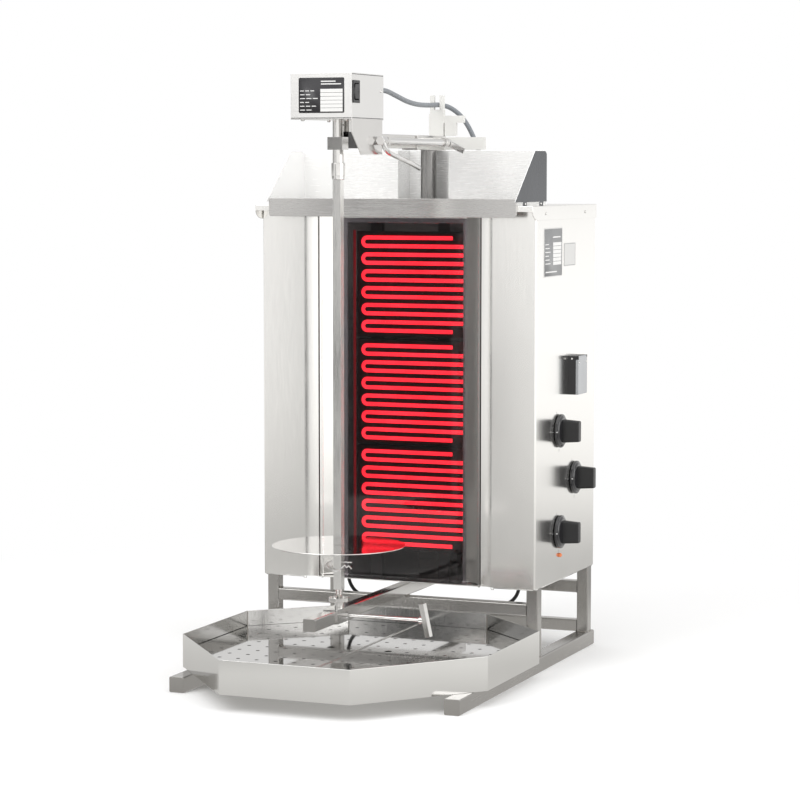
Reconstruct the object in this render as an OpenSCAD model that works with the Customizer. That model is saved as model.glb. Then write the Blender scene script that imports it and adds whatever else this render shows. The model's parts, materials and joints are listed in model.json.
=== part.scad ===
// Upright rotisserie grill on a tube frame: a heated glass front, a motor-driven vertical
// spit on two sliding arms, a spatter guard on top and an eight-sided drip tray on the skids.
// Millimetres, +Z up, -Y towards the user. Everything is drawn about the housing's middle
// plane and then moved by at_origin() to the middle of the footprint.

/* [Frame] */
// Outside width of the housing
body_w = 480; // [474:1:486]
// Length of the two floor skids
skid_l = 650; // [644:1:656]
// Side of the square skid tube
skid_size = 25; // [24:1:26]
// Side of the square tube of posts, crossbars and lower arm
tube_size = 20; // [19:0.5:20]
// Wall of the square tubes
tube_wall = 1.5; // [1:0.5:2]
// Height of the underside of the housing
body_z = 138; // [137:1:142]

/* [Housing] */
// Height of the top face of the cover
cover_z = 754; // [748:1:760]
// Thickness of the housing's sheet steel
sheet = 1; // [0.8:0.1:1]
// Half of the open width between the angled front strips
mouth_half = 143.5; // [143.5:0.5:145]
// Half width of the heater glass
glass_half = 110; // [106:1:110]
// Thickness of the heater glass
glass_t = 4; // [3:0.5:4]
// Side of the visor plate that faces up and down
visor_h = 29.9; // [26:0.1:32]

/* [Heaters] */
// Straight runs of ribbon in one heating element
runs = 12; // [8:2:12]
// Distance between neighbouring runs
run_pitch = 13.9; // [13:0.1:14]
// Width of the heating ribbon
ribbon_w = 6.4; // [4:0.1:8]

/* [Spit] */
// Distance of the spit's axis in front of the middle of the skids
spit_reach = 217; // [215:1:219]
// Side of the square spit bar
spit_side = 13; // [12:0.5:13]
// Diameter of the meat plate
plate_d = 208; // [160:1:210]
// Travel of the two arms towards the heaters
arm_travel = 90; // [60:1:90]

/* [Controls] */
// Diameter of a knob's disc
knob_d = 55; // [40:1:56]
// How far a knob stands out from the side panel
knob_reach = 36; // [30:1:36]

/* [Drip tray] */
// Height of the tray's rim above the skids
tray_h = 53; // [40:1:55]
// Distance between drain holes across the tray
hole_dx = 32; // [30:1:40]
// Distance between drain holes from front to back
hole_dy = 36; // [34:1:40]

/* [Hidden] */
$fn = 48;
half = body_w / 2;
rear_y = skid_l / 2;
front_y = 21.5;               // plane of the housing's front strips
back_y = rear_y - 3;          // inside face of the back panel
centre_x = 9;                 // middle of the footprint, which the knobs shift to the right
centre_y = -50;               // and which the drip tray shifts to the front
skid_x = half - 23;           // inner side of a skid
post_x = half - tube_size;    // inner side of a post
bar_z = 92;                   // underside of the upper crossbars
front_bar_y = 35;
rear_bar_y = rear_y - 30;
arm_low_z = bar_z + tube_size;        // underside of the lower arm
arm_low_y = -332;
spit_y = -spit_reach;
play = 0.1;                   // gap of a guided fit, each side
cap_t = 1.5;

// Plan of the right-hand wrapper sheet, outer face, from the back to the mouth
bend_r = 3;
strip_x = 166;
wrap = concat(
    [[half, back_y], [half, front_y + bend_r]],
    [for (a = [15 : 15 : 75]) [half - bend_r + bend_r * cos(a), front_y + bend_r - bend_r * sin(a)]],
    [[half - bend_r, front_y], [strip_x, front_y], [mouth_half, 30.1]]
);
pan_t = 1.2;
pan_top = body_z + pan_t;
under_cover = cover_z - 2;

// Swivelling reflector wings beside the glass
wing_pin = [138.9, 34.2];
wing_pin_r = 2;
wing = [[141.3, 30.75], [109.9, 52.4]];
header_z = cover_z - 16;
glass_y = 53.5;
glass_top = cover_z - 21;

// Heating zones: top edge of the ribbon of each, and the ribbon's left and right ends
zone_top = [cover_z - 50.2, cover_z - 228.2, cover_z - 403.7];
ribbon_x = [-80, 107];
tail_x = 81;
ribbon_y = 63.4;
ribbon_t = 1.6;
zone_h = (runs - 1) * run_pitch + ribbon_w;

// Guard on the cover
cheek_x = 217;
guard_y = 137;
guard_top = cover_z + 89.6;
guard_t = 1.5;
recess_x = 45;
recess_y = 190;
column_y = 163;
column_r = 13.45;

// Upper arm, motor head and drive
arm_z = cover_z + 92;
arm_side = 22;
arm_front = spit_y + 11;
arm_rear = 212;
head_y = [78, 205];
rod = [58.5, arm_z + 10];     // X and Z of the adjusting rod
rod_r = 4.75;
box_z = cover_z + 135;
box_h = 68;
box_half = 50.5;
box_y = [-281, -157];
shaft_r = 8.5;
shaft_z = [cover_z + 44, box_z + 11];
socket_depth = 16;
tenon_side = 10;
collar_z = cover_z + 42.5;
motor_lead_exit = [25, box_y[1], box_z + 47];

// Spit and its lower bearing
bar_foot_z = 161;
tip_z = 149;
slider_z = [arm_low_z - 1, arm_low_z + tube_size + 1.5];
pivot_r = 4;
screw_z = arm_low_z + 9;

// Controls on the right side: Y and Z of each
knobs = [[138, 385], [218, 300], [139, 218]];
lamp = [141, 179];
socket_lo = [185, 441];
socket_hi = [232, 505];
lid_axis = [half + 14.75, 502.5];

// Drip tray, plan from the front right corner round to the back
tray_plan = [[107, -425], [258, -246], [258, -8], [125, 112],
             [-125, 112], [-258, -8], [-258, -246], [-107, -425]];
insert_z = skid_size + 26.2;

// Leads, each along the points of its own route
lead_d = 6;
lead_y = 183;
lead_half = [[0, 73], [50, 73.5], [90, 75.5], [120, 80], [140, 88], [151, 100],
             [156, 115], [157, 128]];
motor_lead_d = 8;
lead_gland = [98, 200];
motor_route = [[25, -148.8, 936], [25, -134, 936], [25, -118, 936], [24, -80, 935], [20, -30, 929],
               [14, 30, 922], [8, 90, 918.5], [3, 150, 918.5], [1, 190, 920], [3, 212, 920],
               [13, 227, 916], [28, 234, 904], [42, 235, 886], [55, 231, 864], [68, 224, 840],
               [80, 216, 816], [90, 207, 794], [97, 201, 780], [98, 200, 772], [98, 200, 764]];

// ---- Helpers -----------------------------------------------------------------------------

module at_origin() translate([-centre_x, -centre_y, 0]) children();

// A box from its lowest to its highest corner
module block(lo, hi) translate(lo) cube(hi - lo);

// A square tube along one axis (0, 1 or 2)
module square_tube(lo, hi, axis, wall) {
    along = [for (i = [0 : 2]) i == axis ? 1 : 0];
    across = [for (i = [0 : 2]) i == axis ? 0 : wall];
    difference() {
        block(lo, hi);
        block(lo + across - along, hi - across + along);
    }
}

// Round bars along an axis
module bar_x(x0, x1, y, z, r) translate([x0, y, z]) rotate([0, 90, 0]) cylinder(h = x1 - x0, r = r);
module bar_y(y0, y1, x, z, r) translate([x, y0, z]) rotate([-90, 0, 0]) cylinder(h = y1 - y0, r = r);
module bar_z(z0, z1, x, y, r) translate([x, y, z0]) cylinder(h = z1 - z0, r = r);

// An outline given in Y and Z, drawn from x0 to x1
module plate_yz(x0, x1, outline)
    translate([x0, 0, 0]) rotate([90, 0, 90]) linear_extrude(x1 - x0) polygon(outline);

// An outline given in X and Z, drawn from y0 to y1
module plate_xz(y0, y1, outline)
    translate([0, y1, 0]) rotate([90, 0, 0]) linear_extrude(y1 - y0) polygon(outline);

module both_sides() {
    children();
    mirror([1, 0, 0]) children();
}

function unit(v) = v / norm(v);
function turned(v) = [-v[1], v[0]];
function mitre(a, b) = let (n = unit(turned(a) + turned(b))) n / (n * turned(a));
function along(p, i) = unit(p[i + 1] - p[i]);
function open_mitre(p, i) = mitre(along(p, max(i - 1, 0)), along(p, min(i, len(p) - 2)));
function moved_path(p, t) = [for (i = [0 : len(p) - 1]) p[i] + open_mitre(p, i) * t];
function backwards(p) = [for (i = [len(p) - 1 : -1 : 0]) p[i]];
function band(p, t) = concat(p, backwards(moved_path(p, t)));

function round_index(p, i) = (i + len(p)) % len(p);
function edge(p, i) = unit(p[round_index(p, i + 1)] - p[round_index(p, i)]);
function inset(p, t) = [for (i = [0 : len(p) - 1]) p[i] + mitre(edge(p, i - 1), edge(p, i)) * t];

// A smooth line through the points of a route, with n steps between neighbours
function spline(a, b, c, d, t) = 0.5 * (2 * b + (c - a) * t + (2 * a - 5 * b + 4 * c - d) * t * t
    + (3 * b - a - 3 * c + d) * t * t * t);
function smooth(p, n) = concat(
    [for (i = [0 : len(p) - 2]) for (k = [0 : n - 1])
        spline(p[max(i - 1, 0)], p[i], p[i + 1], p[min(i + 2, len(p) - 1)], k / n)],
    [p[len(p) - 1]]);

// A round cord along a route that never runs along side
module cord(route, d, sides, side) {
    line = smooth(route, 2);
    last = len(line) - 1;
    dir = [for (i = [0 : last]) unit(line[min(i + 1, last)] - line[max(i - 1, 0)])];
    ring = [for (i = [0 : last])
        let (u = unit(cross(dir[i], side)), v = cross(dir[i], u))
        for (k = [0 : sides - 1])
            line[i] + d / 2 * (cos(360 * k / sides) * u + sin(360 * k / sides) * v)];
    skin = [for (i = [0 : last - 1]) for (k = [0 : sides - 1])
        let (n = (k + 1) % sides)
        [i * sides + k, (i + 1) * sides + k, (i + 1) * sides + n, i * sides + n]];
    ends = [[for (k = [0 : sides - 1]) k], [for (k = [sides - 1 : -1 : 0]) last * sides + k]];
    polyhedron(ring, concat(skin, ends));
}

// ---- Frame -------------------------------------------------------------------------------

module skids() color("#b4b1ab") both_sides()
    square_tube([skid_x, cap_t - rear_y, 0], [skid_x + skid_size, rear_y - cap_t, skid_size],
                1, tube_wall);

module tube_end_caps() color("#c2bfb9") {
    both_sides() for (y = [-rear_y, rear_y - cap_t])
        block([skid_x, y, 0], [skid_x + skid_size, y + cap_t, skid_size]);
    for (y = [arm_low_y, rear_bar_y + tube_size])
        block([-tube_size / 2, y, arm_low_z], [tube_size / 2, y + cap_t, arm_low_z + tube_size]);
}

module frame_posts() color("#b9b6b0") both_sides() for (y = [front_bar_y, rear_bar_y])
    square_tube([post_x, y, skid_size], [half, y + tube_size, body_z], 2, tube_wall);

module crossbars() color("#b9b6b0") for (place = [[front_bar_y, bar_z], [rear_bar_y, bar_z],
                                                   [rear_bar_y, skid_size]])
    square_tube([-post_x, place[0], place[1]],
                [post_x, place[0] + tube_size, place[1] + tube_size], 0, tube_wall);

module lower_arm() color("#c4c1bb")
    square_tube([-tube_size / 2, arm_low_y + cap_t, arm_low_z],
                [tube_size / 2, rear_bar_y + tube_size, arm_low_z + tube_size], 1, tube_wall);

// ---- Housing -----------------------------------------------------------------------------

module bottom_pan() {
    lip = mouth_half - 0.7;
    right = concat(moved_path(wrap, -sheet), [[lip, 31.6], [lip, front_y]]);
    left = [for (p = backwards(right)) [-p[0], p[1]]];
    color("#a9a6a1") difference() {
        translate([0, 0, body_z]) linear_extrude(pan_t) polygon(concat(right, left));
        both_sides() bar_z(body_z - 1, pan_top + 1, wing_pin[0], wing_pin[1], wing_pin_r + play);
        both_sides() bar_z(body_z - 1, pan_top + 1, lead_half[7][0], lead_y, lead_d / 2 + play);
    }
}

module wrapper() translate([0, 0, body_z]) linear_extrude(under_cover - body_z) polygon(band(wrap, -sheet));

module left_side_panel() color("#cfccc6") mirror([1, 0, 0]) wrapper();

module right_side_panel() color("#cfccc6") difference() {
    wrapper();
    for (k = knobs) bar_x(half - 5, half + 5, k[0], k[1], 5);
    bar_x(half - 5, half + 5, lamp[0], lamp[1], 3 + play);
}

module back_panel() {
    slots = [for (x = [-170, 110]) for (i = [0 : 7]) [x, cover_z - 60 - 16 * i]];
    color("#bcb9b3") difference() {
        block([-half, back_y, body_z], [half, back_y + sheet, under_cover]);
        for (s = slots) block([s[0], back_y - 1, s[1] - 3], [s[0] + 60, back_y + 2, s[1] + 3]);
    }
}

module top_cover() {
    skirt_t = 1.8;
    skirt_z = cover_z - 23;
    nose = [for (a = [0 : 15 : 90]) [23 - 26 * sin(a), skirt_z + 14 * (1 - cos(a))]];
    skirt = concat(nose, [[-3, under_cover], [rear_y, under_cover], [rear_y, skirt_z]]);
    x = half + 2;
    color("#b7b3ad") difference() {
        union() {
            block([-x, -3, under_cover], [x, rear_y, cover_z]);
            both_sides() plate_yz(x - skirt_t, x, skirt);
            block([-x, rear_y - skirt_t, skirt_z], [x, rear_y, under_cover]);
            block([-x, -3, under_cover - 7], [x, -1.5, under_cover]);
        }
        bar_z(under_cover - 1, cover_z + 1, lead_gland[0], lead_gland[1], 6 + play);
    }
}

module front_header() {
    y = 31.6;
    color("#a5a29c") difference() {
        union() {
            block([1 - mouth_half, y, header_z], [mouth_half - 1, 62, header_z + pan_t]);
            block([-133, y, header_z + pan_t], [133, y + pan_t, under_cover]);
        }
        both_sides() bar_z(header_z - 1, header_z + 3, wing_pin[0], wing_pin[1], wing_pin_r + play);
    }
}

module reflector() {
    translate([0, 0, pan_top + 1]) linear_extrude(header_z - pan_top - 2) polygon(band(wing, -1));
    bar_z(body_z - 3, header_z + 5, wing_pin[0], wing_pin[1], wing_pin_r);
}
module left_reflector() color("#e4e2de") mirror([1, 0, 0]) reflector();
module right_reflector() color("#e4e2de") reflector();

module glass_panel() color([0.05, 0.05, 0.06])
    block([-glass_half, glass_y, pan_top + 0.3], [glass_half, glass_y + glass_t, glass_top]);

module glass_rails() {
    back = glass_y + glass_t + 0.2;
    edge_x = glass_half + 1;
    color("#8f8c87") {
        both_sides() {
            block([edge_x, glass_y, pan_top], [edge_x + 1.2, back, header_z]);
            block([edge_x - 9, back, pan_top], [edge_x + 1.2, back + 1.2, header_z]);
        }
        block([9 - edge_x, back, glass_top - 8], [edge_x - 9, back + 1.2, header_z]);
    }
}

// ---- Heaters -----------------------------------------------------------------------------

tray_front = 62.5;
tray_back = 80;

module heater_frame() color("#8f8c87") both_sides() difference() {
    block([50, tray_back, pan_top], [70, tray_back + 12, under_cover]);
    block([51.2, tray_back + 1.2, pan_top - 1], [71, tray_back + 13, under_cover + 1]);
}

module element_trays() {
    rim = 7;
    color("#b9b3a6") for (top = zone_top) difference() {
        block([ribbon_x[0] - rim, tray_front, top - zone_h - rim],
              [ribbon_x[1] + rim, tray_back, top + rim]);
        block([ribbon_x[0] - 3, tray_front - 1, top - zone_h - 3],
              [ribbon_x[1] + 3, tray_front + 3, top + 3]);
    }
}

// One ribbon of parallel runs, joined by half rings on the left and by squared loops on the right
module ribbon() {
    w = ribbon_w;
    turn_r = (run_pitch + w) / 2;
    left_x = ribbon_x[0] + turn_r;
    right_x = ribbon_x[1];
    for (i = [0 : runs - 1]) {
        outer = i == 0 || i == runs - 1;
        end_x = outer ? tail_x : right_x;
        translate([left_x, -i * run_pitch - w]) square([end_x - left_x, w]);
    }
    for (i = [0 : 2 : runs - 2]) translate([left_x, -(i + 0.5) * run_pitch - w / 2]) difference() {
        circle(turn_r);
        circle(turn_r - w);
        translate([0, -turn_r - 1]) square(2 * turn_r + 2);
    }
    for (i = [1 : 2 : runs - 3])
        translate([right_x - w, -(i + 1) * run_pitch - w]) square([w, run_pitch + w]);
}

module element(top) color("#ff3648") translate([0, ribbon_y + ribbon_t, top])
    rotate([90, 0, 0]) linear_extrude(ribbon_t) ribbon();
module top_element() element(zone_top[0]);
module middle_element() element(zone_top[1]);
module bottom_element() element(zone_top[2]);

module limiter_tube() color("#5a1016")
    bar_z(zone_top[2] - zone_h - 4, zone_top[0] + 9, ribbon_x[0] - 10.5, 60.2, 2.2);

// ---- Visor and guard ---------------------------------------------------------------------

module front_visor() {
    x = cheek_x - 1.5;
    z = cover_z - 18.3;
    r = 4.5;
    corner = [for (a = [0 : 15 : 90]) [x - r + r * sin(a), z + r - r * cos(a)]];
    face = concat(corner, [[x, z + visor_h], [-x, z + visor_h]],
                  [for (p = backwards(corner)) [-p[0], p[1]]]);
    color("#aaa8a5") {
        plate_xz(-7, -5.8, face);
        both_sides() block([x - 1.2, -5.8, z + r], [x, -3, z + visor_h]);
        block([-x, -5.8, z + visor_h - 1.2], [x, 4, z + visor_h]);
    }
}

module rear_guard() {
    path = [[cheek_x - 1.5, guard_y], [recess_x, guard_y], [recess_x, recess_y],
            [-recess_x, recess_y], [-recess_x, guard_y], [1.5 - cheek_x, guard_y]];
    color("#c9c6c0") translate([0, 0, cover_z]) linear_extrude(guard_top - cover_z)
        polygon(band(path, -guard_t));
}

module side_cheeks() {
    top = cover_z + 88;
    r = 8;
    bend = [for (a = [0 : 15 : 90]) [guard_y - r + r * sin(a), top - r + r * cos(a)]];
    outline = concat([[-16, cover_z + 6], [80, top]], bend, [[guard_y, cover_z + 6]]);
    feet = [[20, 40], [100, 120]];
    color("#5c6066") both_sides() {
        plate_yz(cheek_x - 1.5, cheek_x, outline);
        for (f = feet) block([cheek_x - 1.5, f[0], cover_z], [cheek_x, f[1], cover_z + 6]);
    }
}

// ---- Right-hand controls -----------------------------------------------------------------

module switchgear() color("#d8d4c8") {
    for (k = knobs) difference() {
        block([half - 37, k[0] - 18, k[1] - 18], [half - sheet, k[0] + 18, k[1] + 18]);
        bar_x(half - 16, half, k[0], k[1], 3.05);
    }
    block([-60, 270, pan_top], [0, 300, pan_top + 30]);
}

module indicator_lamp() color("#e8602c") {
    bar_x(half - 12, half, lamp[0], lamp[1], 3);
    bar_x(half, half + 1.5, lamp[0], lamp[1], 3.5);
    translate([half + 1.5, lamp[0], lamp[1]]) intersection() {
        sphere(3.5);
        block([0, -4, -4], [4, 4, 4]);
    }
}

module knob(place) color("#141414") {
    y = place[0];
    z = place[1];
    bar_x(half - 15, half + 1, y, z, 3);
    bar_x(half + 1, half + 5, y, z, knob_d / 2);
    bar_x(half + 5, half + 9, y, z, knob_d / 2 - 3);
    plate_yz(half + 9, half + knob_reach,
             [[y - 7, z - 15], [y - 5, z - 17], [y + 5, z - 17], [y + 7, z - 15],
              [y + 7, z + 15], [y + 5, z + 17], [y - 5, z + 17], [y - 7, z + 15]]);
}
module top_knob() knob(knobs[0]);
module middle_knob() knob(knobs[1]);
module bottom_knob() knob(knobs[2]);

lid_inner = half + 12.5;
lid_outer = half + 17;
ear = 3;

module socket_box() {
    x = half + 12;
    mid = (socket_lo + socket_hi) / 2;
    color("#161616") {
        difference() {
            block([half, socket_lo[0], socket_lo[1]], [x, socket_hi[0], socket_hi[1]]);
            bar_x(x - 4, x + 1, mid[0], mid[1] - 3, 19);
        }
        for (y = [socket_lo[0], socket_hi[0] - ear]) {
            block([x, y, socket_hi[1] - 5], [lid_outer, y + ear, socket_hi[1]]);
        }
        bar_y(socket_lo[0] + ear, socket_lo[0] + ear + 2, lid_axis[0], lid_axis[1], 1.2);
        bar_y(socket_hi[0] - ear - 2, socket_hi[0] - ear, lid_axis[0], lid_axis[1], 1.2);
    }
}

module socket_lid() {
    gap = 0.3;
    ear_z = socket_hi[1] - 6.1;
    color("#8b8f93") difference() {
        union() {
            block([lid_inner, socket_lo[0], socket_lo[1]], [lid_outer, socket_hi[0], ear_z]);
            block([lid_inner, socket_lo[0] + ear + gap, ear_z],
                  [lid_outer, socket_hi[0] - ear - gap, lid_axis[1]]);
            bar_y(socket_lo[0] + ear + gap, socket_hi[0] - ear - gap, lid_axis[0], lid_axis[1], 2.25);
        }
        for (y = [socket_lo[0] + ear - 1, socket_hi[0] - ear - 2.2])
            bar_y(y, y + 3.2, lid_axis[0], lid_axis[1], 1.25);
    }
}

module blank_plates() color("#d9d7d2") {
    block([half, 57, cover_z - 115], [half + 0.5, 148, cover_z - 36]);
    block([half, 158, cover_z - 100], [half + 0.5, 216, cover_z - 62]);
}

// ---- Column and head ---------------------------------------------------------------------

head_z = arm_z - 2.2;
plate_in = arm_side / 2 + 0.2;
plate_out = plate_in + 3;
head_top = arm_z + arm_side + 0.2;

module column_tube() color("#8f8e8c") {
    block([-26, column_y - 24, cover_z], [26, column_y + 24, cover_z + 4]);
    difference() {
        bar_z(cover_z + 4, head_z, 0, column_y, column_r);
        bar_z(cover_z + 5, head_z + 1, 0, column_y, column_r - 2);
    }
    for (x = [-19, 19]) for (y = [-18, 18]) bar_z(cover_z + 4, cover_z + 8, x, column_y + y, 4);
}

module column_head() color("#c6c3bd") {
    block([-plate_out, head_y[0], head_z], [plate_out, head_y[1], arm_z - 0.2]);
    both_sides() block([plate_in, head_y[0], arm_z - 0.2], [plate_out, head_y[1], head_top]);
    difference() {
        union() {
            block([plate_out, head_y[0], rod[1] - 7], [rod[0], head_y[0] + 10, rod[1] + 7]);
            bar_y(head_y[0], head_y[0] + 10, rod[0], rod[1], 8);
        }
        bar_y(head_y[0] - 1, head_y[0] + 11, rod[0], rod[1], rod_r + 0.08);
    }
}

module cable_holder() {
    y = 196;
    top = cover_z + 158;
    front = [[-13, head_top], [13, head_top], [13, top], [-6, top], [-13, top - 8]];
    color("#dcdad5") {
        plate_xz(y, y + 9, front);
        block([-11, y, top - 5], [-4, y + 7, top + 24]);
        block([6, y, top], [13, y + 7, top + 24]);
        block([13, y + 1, top - 22], [50, y + 6, top - 10]);
        block([15, y + 1, head_top], [35, y + 9, top - 22]);
        block([plate_out, y + 1, arm_z - 1], [88, y + 4, arm_z + 20]);
    }
}

module clamp_lever() {
    y = head_y[0] + 11;
    color("#d2d0cb") difference() {
        union() {
            bar_y(y, y + 10, rod[0], rod[1], 7);
            translate([rod[0], y + 2, rod[1]]) rotate([0, 24.5, 0]) block([0, 0, -4.5], [34, 5, 4.5]);
        }
        bar_y(y - 1, y + 11, rod[0], rod[1], rod_r + 0.08);
    }
}

// ---- Upper arm and motor head ------------------------------------------------------------

module arm_tube() color("#c4c1bb") {
    h = arm_side / 2;
    square_tube([-h, arm_front, arm_z], [h, arm_rear - 2, arm_z + arm_side], 1, 2);
    block([-h, arm_rear - 2, arm_z], [h, arm_rear, arm_z + arm_side]);
}

module arm_sleeve() color("#1b1b1c")
    square_tube([-12.5, arm_front, arm_z - 1.5], [12.5, arm_front + 41, arm_z + arm_side + 1.5],
                1, 1.45);

module guide_block() color("#cbc8c2") difference() {
    block([-12.5, arm_front - 23.5, arm_z - 4], [12.5, arm_front, arm_z + 15.5]);
    bar_z(arm_z - 5, arm_z + 17, 0, spit_y, shaft_r + 0.06);
}

switch_y = [-279, -254];
switch_z = [box_z + 23, box_z + 57];

module motor_cover() color("#e9e6e0") difference() {
    block([-box_half, box_y[0], box_z], [box_half, box_y[1], box_z + box_h]);
    block([1.2 - box_half, box_y[0] + 1.2, box_z - 1],
          [box_half - 1.2, box_y[1] - 1.2, box_z + box_h - 1.2]);
    block([box_half - 2, switch_y[0] + 2, switch_z[0] + 2],
          [box_half + 1, switch_y[1] - 2, switch_z[1] - 2]);
    bar_y(box_y[1] - 2, box_y[1] + 1, motor_lead_exit[0], motor_lead_exit[2], 5);
}

module motor_base() {
    x = box_half - 1.6;
    plate_z = box_z - 1.5;
    bracket = [[box_y[0], plate_z], [box_y[0], arm_z + 22], [-244.7, arm_z - 11.5],
               [-161.5, arm_z - 11], [-161, plate_z]];
    lug_y = [-169, -162];
    color("#dad7d1") difference() {
        union() {
            block([-box_half, box_y[0], plate_z], [box_half, box_y[1], box_z]);
            plate_yz(x, box_half, bracket);
            block([-11, arm_front + 6, arm_z + arm_side + 1.5], [11, arm_front + 38, plate_z]);
            block([box_half, lug_y[0], rod[1] - 6], [rod[0] + 6, lug_y[1], rod[1] + 6]);
        }
        bar_z(plate_z - 1, box_z + 1, 0, spit_y, shaft_r + 0.3);
        bar_y(lug_y[0] - 1, lug_y[1] + 1, rod[0], rod[1], rod_r + 0.08);
    }
}

module gear_motor() color("#6f7479") difference() {
    union() {
        block([-28, spit_y - 33, box_z], [28, spit_y + 33, box_z + 34]);
        bar_z(box_z + 34, box_z + 60, 0, spit_y, 24);
    }
    bar_z(box_z - 1, box_z + 12, 0, spit_y, shaft_r + 0.06);
}

rocker_axis = [box_half - 3.5, (switch_z[0] + switch_z[1]) / 2];

module switch_housing() color("#101010") difference() {
    union() {
        block([box_half, switch_y[0], switch_z[0]], [box_half + 1.8, switch_y[1], switch_z[1]]);
        block([box_half - 14, switch_y[0] + 2, switch_z[0] + 2],
              [box_half, switch_y[1] - 2, switch_z[1] - 2]);
    }
    block([box_half - 8, switch_y[0] + 4.5, rocker_axis[1] - 12.4],
          [box_half + 3, switch_y[1] - 4.5, rocker_axis[1] + 12.4]);
}

module rocker_switch() {
    x = box_half;
    z = rocker_axis[1];
    profile = [[x - 4.5, z - 11], [x + 3, z - 11], [x + 1.6, z], [x + 3, z + 11], [x - 4.5, z + 11]];
    color("#1d1d1f") {
        plate_xz(switch_y[0] + 5, switch_y[1] - 5, profile);
        bar_y(switch_y[0] + 4.6, switch_y[1] - 4.6, rocker_axis[0], z, 1);
    }
}

module motor_gland() color("#2a2b2d") {
    x = motor_lead_exit[0];
    z = motor_lead_exit[2];
    bar_y(box_y[1] - 1.2, box_y[1], x, z, 4.9);
    bar_y(box_y[1], box_y[1] + 8, x, z, 7);
}

module drive_shaft() color("#b5b3af") difference() {
    bar_z(shaft_z[0], shaft_z[1], 0, spit_y, shaft_r);
    block([-tenon_side / 2 - play, spit_y - tenon_side / 2 - play, shaft_z[0] - 1],
          [tenon_side / 2 + play, spit_y + tenon_side / 2 + play, shaft_z[0] + socket_depth]);
    bar_x(-10, 10, spit_y, box_z - 9, 1.5);
}

module drive_sleeve() color("#cfcdc8") difference() {
    union() {
        bar_z(collar_z + 5.5, collar_z + 25.5, 0, spit_y, 10.5);
        bar_z(collar_z, collar_z + 5.5, 0, spit_y, 9.9);
    }
    bar_z(collar_z - 1, collar_z + 27, 0, spit_y, shaft_r + 0.06);
}

module clamp_handle() {
    x = rod[0];
    z = rod[1];
    grip = [[x + 2, -182, z - 3], [x + 3, -177, z - 11], [x + 3, -165, z - 17], [x + 2, -150, z - 20.5],
            [x, -112, z - 26], [x - 6, -60, z - 32], [x - 14, -12, z - 37.5], [x - 23, 34, z - 43]];
    color("#c9c8c6") {
        bar_y(-178, 95, x, z, rod_r);
        translate([x, -190, z]) rotate([-90, 30, 0]) cylinder(h = 20, r = 7.5, $fn = 6);
        cord(grip, 8, 12, [1, 0, 0]);
    }
}

// ---- Spit --------------------------------------------------------------------------------

module spit_bar() {
    s = spit_side / 2;
    color("#bdbbb7") difference() {
        union() {
            block([-s, spit_y - s, bar_foot_z], [s, spit_y + s, collar_z - 0.7]);
            block([-tenon_side / 2, spit_y - tenon_side / 2, collar_z - 0.7],
                  [tenon_side / 2, spit_y + tenon_side / 2, shaft_z[0] + socket_depth - 2]);
            translate([0, spit_y, tip_z]) cylinder(h = bar_foot_z - tip_z, r1 = 4.2, r2 = s);
            bar_z(tip_z - 12, tip_z, 0, spit_y, pivot_r);
        }
        bar_x(-10, 10, spit_y, 204, 1.6);
    }
}

module meat_plate() {
    s = spit_side / 2 + play;
    z = 229;
    color("#d5d3cf") difference() {
        union() {
            bar_z(z, z + 1.5, 0, spit_y, plate_d / 2);
            bar_z(z - 14, z, 0, spit_y, 12);
        }
        block([-s, spit_y - s, z - 20], [s, spit_y + s, z + 5]);
    }
}

module retaining_clip() {
    leg = [[22, 0], [10, 0], [0, 0], [-10, 0], [-16, 2], [-18, 6], [-15, 9.5], [-6, 11],
           [3, 11], [10, 7.5], [14, 5.5], [20, 9]];
    color("#c8c6c2") cord([for (p = leg) [p[0], spit_y - p[1], 204]], 2.4, 8, [0, 0, 1]);
}

module slider_sleeve() {
    t = tube_size / 2;
    y = [spit_y - 35, spit_y + 35];
    color("#bab7b1") difference() {
        union() {
            block([-t - 2, y[0], slider_z[0]], [t + 2, y[1], slider_z[1]]);
            bar_x(t, t + 7, spit_y, screw_z, 7);
        }
        block([-t - play, y[0] - 1, arm_low_z - play], [t + play, y[1] + 1, arm_low_z + tube_size + play]);
        bar_x(t, t + 9, spit_y, screw_z, 3.06);
    }
}

module spit_socket() {
    z = slider_z[1];
    color("#c8c5bf") difference() {
        union() {
            bar_z(z, z + 8.5, 0, spit_y, 7);
            bar_z(z + 8.5, z + 14.5, 0, spit_y, 16);
        }
        bar_z(z + 11, z + 15, 0, spit_y, 14.5);
        bar_z(tip_z - 12.5, z + 15, 0, spit_y, pivot_r + 0.06);
    }
}

module clamp_screw() {
    x = tube_size / 2 + 0.4;
    lean = 12;
    color("#c3c1bc") {
        bar_x(x, 139, spit_y, screw_z, 3);
        translate([145, spit_y, screw_z]) rotate([0, -lean, 0]) difference() {
            block([-4, -6, -26], [4, 6, 26]);
            bar_y(-7, 7, 0, -22, 1);
        }
        bar_x(135, 143, spit_y, screw_z, 5);
    }
}

// ---- Drip tray ---------------------------------------------------------------------------

module drip_tray() {
    rests = [[60, -300], [185, -200], [185, -50], [60, 60]];
    color("#cbc8c3") {
        difference() {
            translate([0, 0, skid_size]) linear_extrude(tray_h) polygon(tray_plan);
            translate([0, 0, skid_size + 1]) linear_extrude(tray_h) polygon(inset(tray_plan, 1));
        }
        both_sides() for (p = rests) bar_z(skid_size + 1, insert_z, p[0], p[1], 6);
    }
}

finger_hole = [17 + hole_dx, -27 - 3 * hole_dy];

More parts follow.
